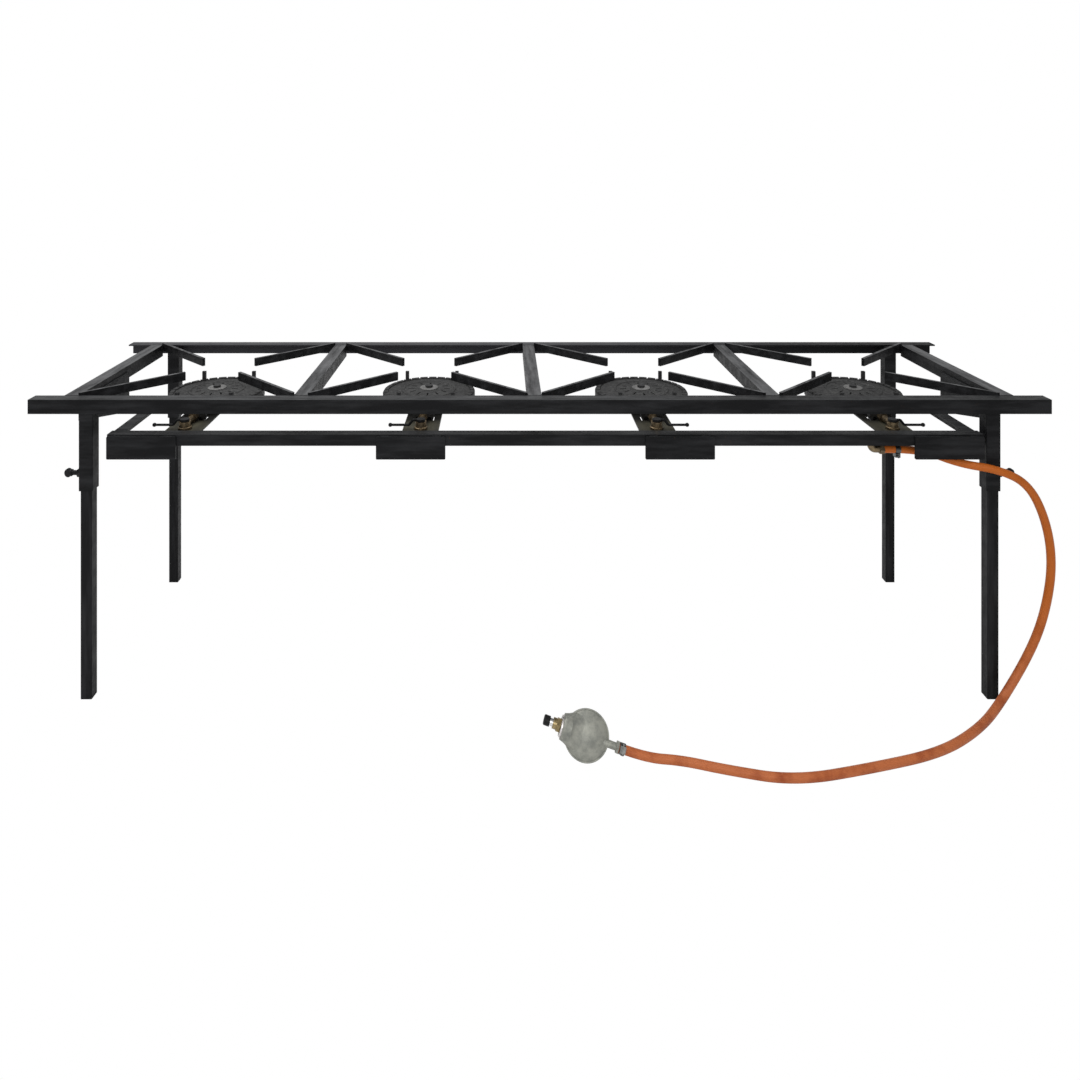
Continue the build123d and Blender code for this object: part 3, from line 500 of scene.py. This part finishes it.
class STOVE_OT_frame_paint(bpy.types.Operator):
    """Paint the steel frame, the legs and the plates"""
    bl_idname = "stove.frame_paint"
    bl_label = "Frame Paint"

    def execute(self, context):
        s = context.scene.stove_paint
        # Scales of the noise along a bar and across it
        run, cross = 0.8, 7.0
        along_x, along_y, along_z = (run, cross, cross), (cross, run, cross), (cross, cross, run)
        # Painted fall-off of the light from the left on the rails' dust and highlight: from X, to
        # X, the share that lies at the first, at the second
        rail_light_fade = (0.0, 0.5, 1.0, 0.42)
        on_rails = {"dust_share": 0.75, "rust_share": 0.35, "run": along_x, "dust_ramp": rail_light_fade}
        rails = brushed_paint("rail_paint", **on_rails)
        back = brushed_paint("back_rail_paint", **on_rails, paint=s.back_rail_lit_paint, worn=s.back_rail_lit_paint)
        # Painted light: the back rail is lighter on the left and fades to the plain paint along X
        lit_side_fades, lit_side_ends = 0.1, 0.75
        lay_over(back, along(back, "X", lit_side_fades, lit_side_ends), s.paint)
        # The cross bars' tops take the bloom with a painted sheen
        bars = brushed_paint(
            "cross_bar_paint", dust_share=0.95, rust_share=0.5, run=along_y, dust=s.bloom_and_sheen
        )
        hung = brushed_paint("hung_frame_paint", dust_share=0.5, rust_share=0.45, run=along_x)
        legs = brushed_paint("leg_paint", dust_share=0.4, rust_share=0.3, run=along_z)
        straps = brushed_paint(
            "strap_scale", dust_share=0.6, rust_share=0.8, run=along_y,
            paint=s.strap_dark, worn=s.strap, dust=s.strap,
        )
        # Painted shadow on the straps' back part, under the burner bowls
        shadow_starts, shadow_full = -0.140, -0.116
        lay_over(straps, along(straps, "Y", shadow_starts, shadow_full), s.strap_painted_shadow)
        finish_nodes(rails, "front_rail")
        finish_nodes(back, "back_rail")
        finish_nodes(bars, "cross_bar", "pot_bars")
        finish_nodes(hung, "lower_", "hanger_plates", "front_plates", "leg_socket", "socket_nuts")
        finish_nodes(legs, "leg_1", "leg_2", "leg_3", "leg_4")
        finish_nodes(straps, "burner_straps")
        return {"FINISHED"}


class STOVE_OT_welds(bpy.types.Operator):
    """Lay the weld beads that hold the frame together"""
    bl_idname = "stove.welds"
    bl_label = "Welds"

    def execute(self, context):
        s = context.scene.stove_welds
        rail_low, rail_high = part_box("front_rail")
        rail_edge, top = -rail_high.y, rail_high.z

        def bead(grid, start, end, thickness=1.0):
            add_bead(grid, start, end, s.bead_radius * thickness, s.ripple)

        def cross_welds(grid):
            sink = 0.0006
            z = top - sink
            for number in range(1, 6):
                bar_low, bar_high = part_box(f"cross_bar_{number}")
                for y in (-rail_edge, rail_edge):
                    bead(grid, (bar_low.x, y, z), (bar_high.x, y, z), thickness=0.8)

        def tip_welds(grid):
            tip_width, under, over = 0.0056, 0.002, 0.0008
            for number in range(1, 5):
                bar_low, bar_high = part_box(f"pot_bars_{number}")
                middle = (bar_low + bar_high) / 2
                half_x = (bar_high.x - bar_low.x) / 2
                for sign_x, sign_y in corner_signs:
                    x, y = middle.x + sign_x * half_x, sign_y * bar_high.y
                    for beside in (
                        (x - sign_x * tip_width, y),
                        (x, y - sign_y * tip_width),
                    ):
                        bead(grid, (*beside, bar_low.z + under), (*beside, top + over))

        def socket_welds(grid):
            inset, foot, clear_of_top = 0.001, 0.0008, 0.005
            z = rail_low.z + foot
            for number, (_, sign_y) in enumerate(corner_signs, start=1):
                socket_low, socket_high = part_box(f"leg_socket_{number}")
                y = socket_low.y if sign_y < 0 else socket_high.y
                bead(
                    grid, (socket_low.x + inset, y, z), (socket_high.x - inset, y, z),
                    thickness=1.2,
                )
                inner_y = y - sign_y * inset
                for x in (socket_low.x, socket_high.x):
                    bead(grid, (x, inner_y, z), (x, inner_y, top - clear_of_top))

        def plate_welds(grid):
            plates, plate_width, run, margin = 4, 0.122, 0.018, 0.006
            sink, under_rail_top = 0.0008, 0.0032
            plate_low, plate_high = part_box("front_plates")
            pitch = (plate_high.x - plate_low.x - plate_width) / (plates - 1)
            y = plate_high.y - sink
            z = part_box("lower_front_rail")[1].z - under_rail_top
            for step in range(plates):
                left = plate_low.x + step * pitch
                for x in (left + margin, left + plate_width - margin - run):
                    bead(grid, (x, y, z), (x + run, y, z))

        finish = brushed_paint("weld_paint", dust_share=0.6, rust_share=1.0)
        pieces = (
            ("cross_bar_welds", cross_welds), ("pot_bar_welds", tip_welds),
            ("leg_socket_welds", socket_welds), ("front_plate_welds", plate_welds),
        )
        for name, builder in pieces:
            new_piece(name, builder, finish, "frame")
        return {"FINISHED"}


class STOVE_OT_screws(bpy.types.Operator):
    """Finish the clamp screws and cut their threads"""
    bl_idname = "stove.screws"
    bl_label = "Clamp Screws"

    def execute(self, context):
        s = context.scene.stove_screws
        clear_of_nut, run = 0.0016, 0.0085
        finish = brushed_paint("clamp_screw_finish", dust_share=0.5, rust_share=0.7)
        finish_nodes(finish, "clamp_screw")
        nut_low, nut_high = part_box("socket_nuts")
        for number, (sign_x, _) in enumerate(corner_signs, start=1):
            screw_low, screw_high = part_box(f"clamp_screw_{number}")
            middle = (screw_low + screw_high) / 2
            nut_face = nut_high.x if sign_x > 0 else nut_low.x
            base = (nut_face + sign_x * clear_of_nut, middle.y, middle.z)

            def ridge(grid):
                add_thread(
                    grid, base, (sign_x, 0, 0), run, s.screw_radius, s.thread_rise, s.screw_pitch
                )

            new_piece(
                f"clamp_screw_{number}_thread", ridge, finish, f"screw_{number}_body"
            )
        return {"FINISHED"}


class STOVE_OT_burners(bpy.types.Operator):
    """Finish the cast burners, their caps, washers and bolts"""
    bl_idname = "stove.burners"
    bl_label = "Burners"

    def execute(self, context):
        s = context.scene.stove_burners
        bowl = cast_skin("bowl_iron", s.iron, s.iron_light)
        cap = cast_skin("cap_iron", s.cap, s.cap_light, grain=190.0)
        bolt = cast_skin("burner_bolt_steel", s.iron, s.iron_light, grain=320.0)
        steel = cast_skin("washer_steel", shaded(s.washer, 0.4), s.washer, grain=150.0)
        finish_nodes(bowl, "burner_bowl")
        finish_nodes(cap, "burner_cap")
        finish_nodes(bolt, "burner_bolts")
        hole, rim, height = 0.0046, s.washer_radius, s.washer_height
        bevel = height * 0.3
        outline = (
            (0, hole), (0, rim), (height - bevel, rim), (height, rim - bevel), (height, hole)
        )
        for number in range(1, s.count + 1):
            x = s.pitch * (number - 1 - (s.count - 1) / 2)
            cap_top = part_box(f"burner_cap_{number}")[1].z

            def washer(grid):
                add_hoop(grid, (x, 0, cap_top), (0, 0, 1), outline)

            new_piece(
                f"burner_washer_{number}", washer, steel, "frame", smooth=False
            )
        return {"FINISHED"}


class STOVE_OT_taps(bpy.types.Operator):
    """Finish the gas rail, the taps, injectors, levers and air shutters"""
    bl_idname = "stove.taps"
    bl_label = "Taps"

    def execute(self, context):
        s = context.scene.stove_gas
        brass = machined_metal(
            "tap_brass", s.brass, s.brass_dark, grain=600.0, smoothest=0.34, roughest=0.55
        )
        shutter = machined_metal(
            "shutter_steel", s.shutter, s.shutter_dark, grain=500.0, smoothest=0.42, roughest=0.6
        )
        zinc = machined_metal("zinc_plate", s.zinc, shaded(s.zinc, 0.5), grain=700.0)
        rod = brushed_paint("lever_paint", dust_share=0.3, rust_share=0.4)
        finish_nodes(brass, "tap_body", "gas_jets", "inlet_elbow")
        finish_nodes(shutter, "air_shutter")
        finish_nodes(zinc, "hose_clips")
        finish_nodes(rod, "tap_lever", "gas_rail")
        return {"FINISHED"}


# Where the regulator lies: its middle, and unit vectors along its ports, out of its face
# and square to both
lean, roll = math.radians(28.0), math.radians(17.5)
regulator_middle = Vector((0.0689, -0.334, 0.032725))
up_face = Vector((0.0, math.sin(lean), math.cos(lean)))
port_axis = Vector((1.0, 0.0, 0.0)) * math.cos(roll) - up_face * math.sin(roll)
face_axis = Vector((0.0, -math.cos(lean), math.sin(lean)))
rim_axis = port_axis.cross(face_axis)
# Reach along the ports, half width and half depth of the fairing from the inlet boss into
# the shells
fairing_sections = (
    (-0.0403, 0.0165, 0.0165),
    (-0.0395, 0.0184, 0.0184),
    (-0.0370, 0.0192, 0.0190),
    (-0.0335, 0.0203, 0.0184),
    (-0.0300, 0.0218, 0.0168),
    (-0.0265, 0.0234, 0.0150),
    (-0.0215, 0.0250, 0.0130),
    (-0.0150, 0.0268, 0.0115),
    (-0.0080, 0.0284, 0.0106),
    (-0.0020, 0.0290, 0.0098),
)


class STOVE_OT_regulator(bpy.types.Operator):
    """Finish the regulator with its nut, spigot and tip"""
    bl_idname = "stove.regulator"
    bl_label = "Regulator"

    def execute(self, context):
        s = context.scene.stove_regulator
        shell = shell_metal("regulator_shell", s.shell, s.shell_dark)
        nut = machined_metal("union_nut_brass", s.nut, shaded(s.nut, 0.45))
        zinc_tone = context.scene.stove_gas.zinc
        spigot = machined_metal(
            "spigot_steel", s.spigot, zinc_tone, smoothest=0.18, roughest=0.32
        )
        tip = soft_rubber("tip_rubber", s.tip, shaded(s.tip, 0.5))
        ring = machined_metal(
            "inlet_ring_steel", s.ring, shaded(s.ring, 0.55), smoothest=0.25, roughest=0.4
        )
        finish_nodes(shell, "regulator_body", "regulator_cover")
        finish_nodes(nut, "regulator_nut")
        finish_nodes(spigot, "regulator_spigot")
        finish_nodes(tip, "regulator_tip")

        def fairing(grid):
            rings = []
            for reach, half_width, half_depth in fairing_sections:
                middle = regulator_middle + port_axis * reach
                wide, deep = rim_axis * half_width, face_axis * half_depth
                rings.append([
                    middle + wide * math.cos(turn) + deep * math.sin(turn) for turn in turns(48)
                ])
            add_rings(grid, rings)

        def rolled_rim(grid):
            before_middle, bead = 0.0016, s.rim_bead
            outline = [
                (before_middle + bead * math.sin(turn), s.rim_radius + bead * math.cos(turn))
                for turn in turns(10)
            ]
            add_hoop(grid, regulator_middle, face_axis, outline, sides=96)

        def bright_ring(grid):
            back, front, bore, rim = 0.0398, 0.0432, 0.0136, 0.0156
            bevel_reach, bevel_depth = 0.0008, 0.0007
            outline = (
                (back, bore), (back, rim), (front - bevel_reach, rim),
                (front, rim - bevel_depth), (front, bore),
            )
            add_hoop(grid, regulator_middle, -port_axis, outline)

        new_piece("regulator_fairing", fairing, shell, "frame")
        new_piece("regulator_rim", rolled_rim, shell, "frame")
        new_piece("regulator_ring", bright_ring, ring, "frame", smooth=False)
        return {"FINISHED"}


# Control points of the hose's line, from the inlet elbow to the regulator
hose_points = [
    (0.622, -0.167, 0.429),
    (0.690, -0.167, 0.429),
    (0.745, -0.192, 0.412),
    (0.797, -0.223, 0.414),
    (0.850, -0.222, 0.388),
    (0.884, -0.216, 0.322),
    (0.896, -0.215, 0.246),
    (0.884, -0.214, 0.162),
    (0.858, -0.214, 0.092),
    (0.800, -0.222, 0.007),
    (0.728, -0.284, 0.007),
    (0.636, -0.337, 0.007),
    (0.515, -0.368, 0.007),
    (0.382, -0.395, 0.007),
    (0.280, -0.372, 0.007),
    (0.218, -0.353, 0.007),
    (0.161305, -0.347678, 0.007),
    (0.119447, -0.341482, 0.018653),
]


class STOVE_OT_hose(bpy.types.Operator):
    """Lay the gas hose from the inlet elbow over the floor to the regulator"""
    bl_idname = "stove.hose"
    bl_label = "Gas Hose"

    def execute(self, context):
        s = context.scene.stove_gas
        line = bpy.data.curves.new("gas_hose_line", "CURVE")
        line.dimensions = "3D"
        spline = line.splines.new("NURBS")
        spline.points.add(len(hose_points) - 1)
        for point, control in zip(spline.points, hose_points):
            point.co = (*control, 1.0)
        spline.order_u = 3
        spline.use_endpoint_u = True
        spline.resolution_u = 12
        line.bevel_depth = s.hose_radius
        line.bevel_resolution = 6
        line.use_fill_caps = True
        rubber = soft_rubber("hose_rubber", s.hose, s.hose_dark)
        dusty_below, clean_above, clean_share = 0.03, 0.20, 0.8
        off_the_floor = along(rubber, "Z", dusty_below, clean_above)
        lay_over(rubber, product(rubber, off_the_floor, clean_share), s.hose_clean)
        line.materials.append(rubber)
        hose = bpy.data.objects.new("gas_hose_tube", line)
        context.scene.collection.objects.link(hose)
        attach(hose, "frame")
        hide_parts("gas_hose")
        return {"FINISHED"}


# Stage

def seen_directly(tree):
    """One for rays that come straight from the camera, and nothing for the rest."""
    rays = tree.nodes.new("ShaderNodeLightPath")
    seen = add_math(tree, "MAXIMUM")
    tree.links.new(rays.outputs["Is Camera Ray"], seen.inputs[0])
    tree.links.new(rays.outputs["Is Transmission Ray"], seen.inputs[1])
    return seen.outputs[0]


def lay_floor(scene, settings):
    """A floor that the camera sees as plain white, and the pieces as pale ground."""
    mesh = bpy.data.meshes.new("floor")
    grid = bmesh.new()
    bmesh.ops.create_circle(grid, cap_ends=True, segments=96, radius=settings.floor_radius)
    grid.to_mesh(mesh)
    grid.free()
    floor = bpy.data.objects.new("floor", mesh)
    floor.location.z = -settings.floor_drop
    scene.collection.objects.link(floor)
    material = bpy.data.materials.new("pale_floor")
    material.use_nodes = True
    tree = material.node_tree
    plain = shader_of(material)
    plain.inputs["Base Color"].default_value = (*settings.floor, 1.0)
    plain.inputs["Roughness"].default_value = 0.9
    white = add_node(material, "ShaderNodeEmission", Strength=1.0)
    mixed = tree.nodes.new("ShaderNodeMixShader")
    join(material, seen_directly(tree), mixed.inputs["Fac"])
    join(material, plain.outputs[0], mixed.inputs[1])
    join(material, white.outputs[0], mixed.inputs[2])
    join(material, mixed.outputs[0], tree.nodes["Material Output"].inputs["Surface"])
    mesh.materials.append(material)


def set_sky(scene, settings):
    """A plain sky, white to the camera and dimmer as a light."""
    world = bpy.data.worlds.new("plain_sky")
    world.use_nodes = True
    scene.world = world
    sky = world.node_tree.nodes["Background"]
    sky.inputs["Color"].default_value = (1.0, 1.0, 1.0, 1.0)
    strength = levels(world, seen_directly(world.node_tree), 0.0, 1.0, settings.sky, 1.0)
    join(world, strength, sky.inputs["Strength"])


def hang_lamp(scene, name, watts, size, spot, target):
    lamp = bpy.data.lights.new(name, "AREA")
    lamp.energy = watts
    lamp.size = size
    holder = bpy.data.objects.new(name, lamp)
    holder.location = spot
    aim = Vector(target) - Vector(spot)
    holder.rotation_euler = aim.to_track_quat("-Z", "Y").to_euler()
    scene.collection.objects.link(holder)


def place_camera(scene, settings):
    """A level camera, whose lens is shifted to frame the stove."""
    lens = bpy.data.cameras.new("photo_camera")
    lens.sensor_width = settings.sensor
    lens.sensor_fit = "HORIZONTAL"
    lens.lens = settings.focal
    lens.shift_x = settings.shift_x
    lens.shift_y = settings.shift_y
    camera = bpy.data.objects.new("photo_camera", lens)
    camera.location = settings.camera
    camera.rotation_euler = (math.radians(90.0), 0.0, 0.0)
    scene.collection.objects.link(camera)
    scene.camera = camera


class STOVE_OT_stage(bpy.types.Operator):
    """Set the pale floor, the plain light and the camera"""
    bl_idname = "stove.stage"
    bl_label = "Stage"

    def execute(self, context):
        scene = context.scene
        s = scene.stove_stage
        lay_floor(scene, s)
        set_sky(scene, s)
        hang_lamp(scene, "overhead_lamp", s.key, s.key_size, s.key_place, s.lamp_target)
        hang_lamp(scene, "front_lamp", s.fill, s.fill_size, s.fill_place, s.lamp_target)
        place_camera(scene, s)
        scene.view_settings.view_transform = "Standard"
        return {"FINISHED"}


class STOVE_PT_panel(bpy.types.Panel):
    bl_idname = "STOVE_PT_panel"
    bl_label = "Gas Stove"
    bl_space_type = "VIEW_3D"
    bl_region_type = "UI"
    bl_category = "Stove"

    def draw(self, context):
        for group, kind in setting_groups.items():
            box = self.layout.box()
            settings = getattr(context.scene, group)
            for name in kind.__annotations__:
                box.prop(settings, name)
        for operator in operators:
            self.layout.operator(operator.bl_idname)


setting_groups = {
    "stove_paint": PaintSettings,
    "stove_welds": WeldSettings,
    "stove_screws": ScrewSettings,
    "stove_burners": BurnerSettings,
    "stove_gas": GasSettings,
    "stove_regulator": RegulatorSettings,
    "stove_stage": StageSettings,
}
operators = (
    STOVE_OT_stage,
    STOVE_OT_frame_paint,
    STOVE_OT_welds,
    STOVE_OT_screws,
    STOVE_OT_burners,
    STOVE_OT_taps,
    STOVE_OT_regulator,
    STOVE_OT_hose,
)


def register():
    for name, group in setting_groups.items():
        bpy.utils.register_class(group)
        setattr(bpy.types.Scene, name, PointerProperty(type=group))
    for operator in operators:
        bpy.utils.register_class(operator)
    bpy.utils.register_class(STOVE_PT_panel)


def unregister():
    bpy.utils.unregister_class(STOVE_PT_panel)
    for operator in reversed(operators):
        bpy.utils.unregister_class(operator)
    for name, group in reversed(setting_groups.items()):
        delattr(bpy.types.Scene, name)
        bpy.utils.unregister_class(group)


def main():
    register()
    for operator in operators:
        family, action = operator.bl_idname.split(".")
        getattr(getattr(bpy.ops, family), action)()


if __name__ == "__main__":
    main()
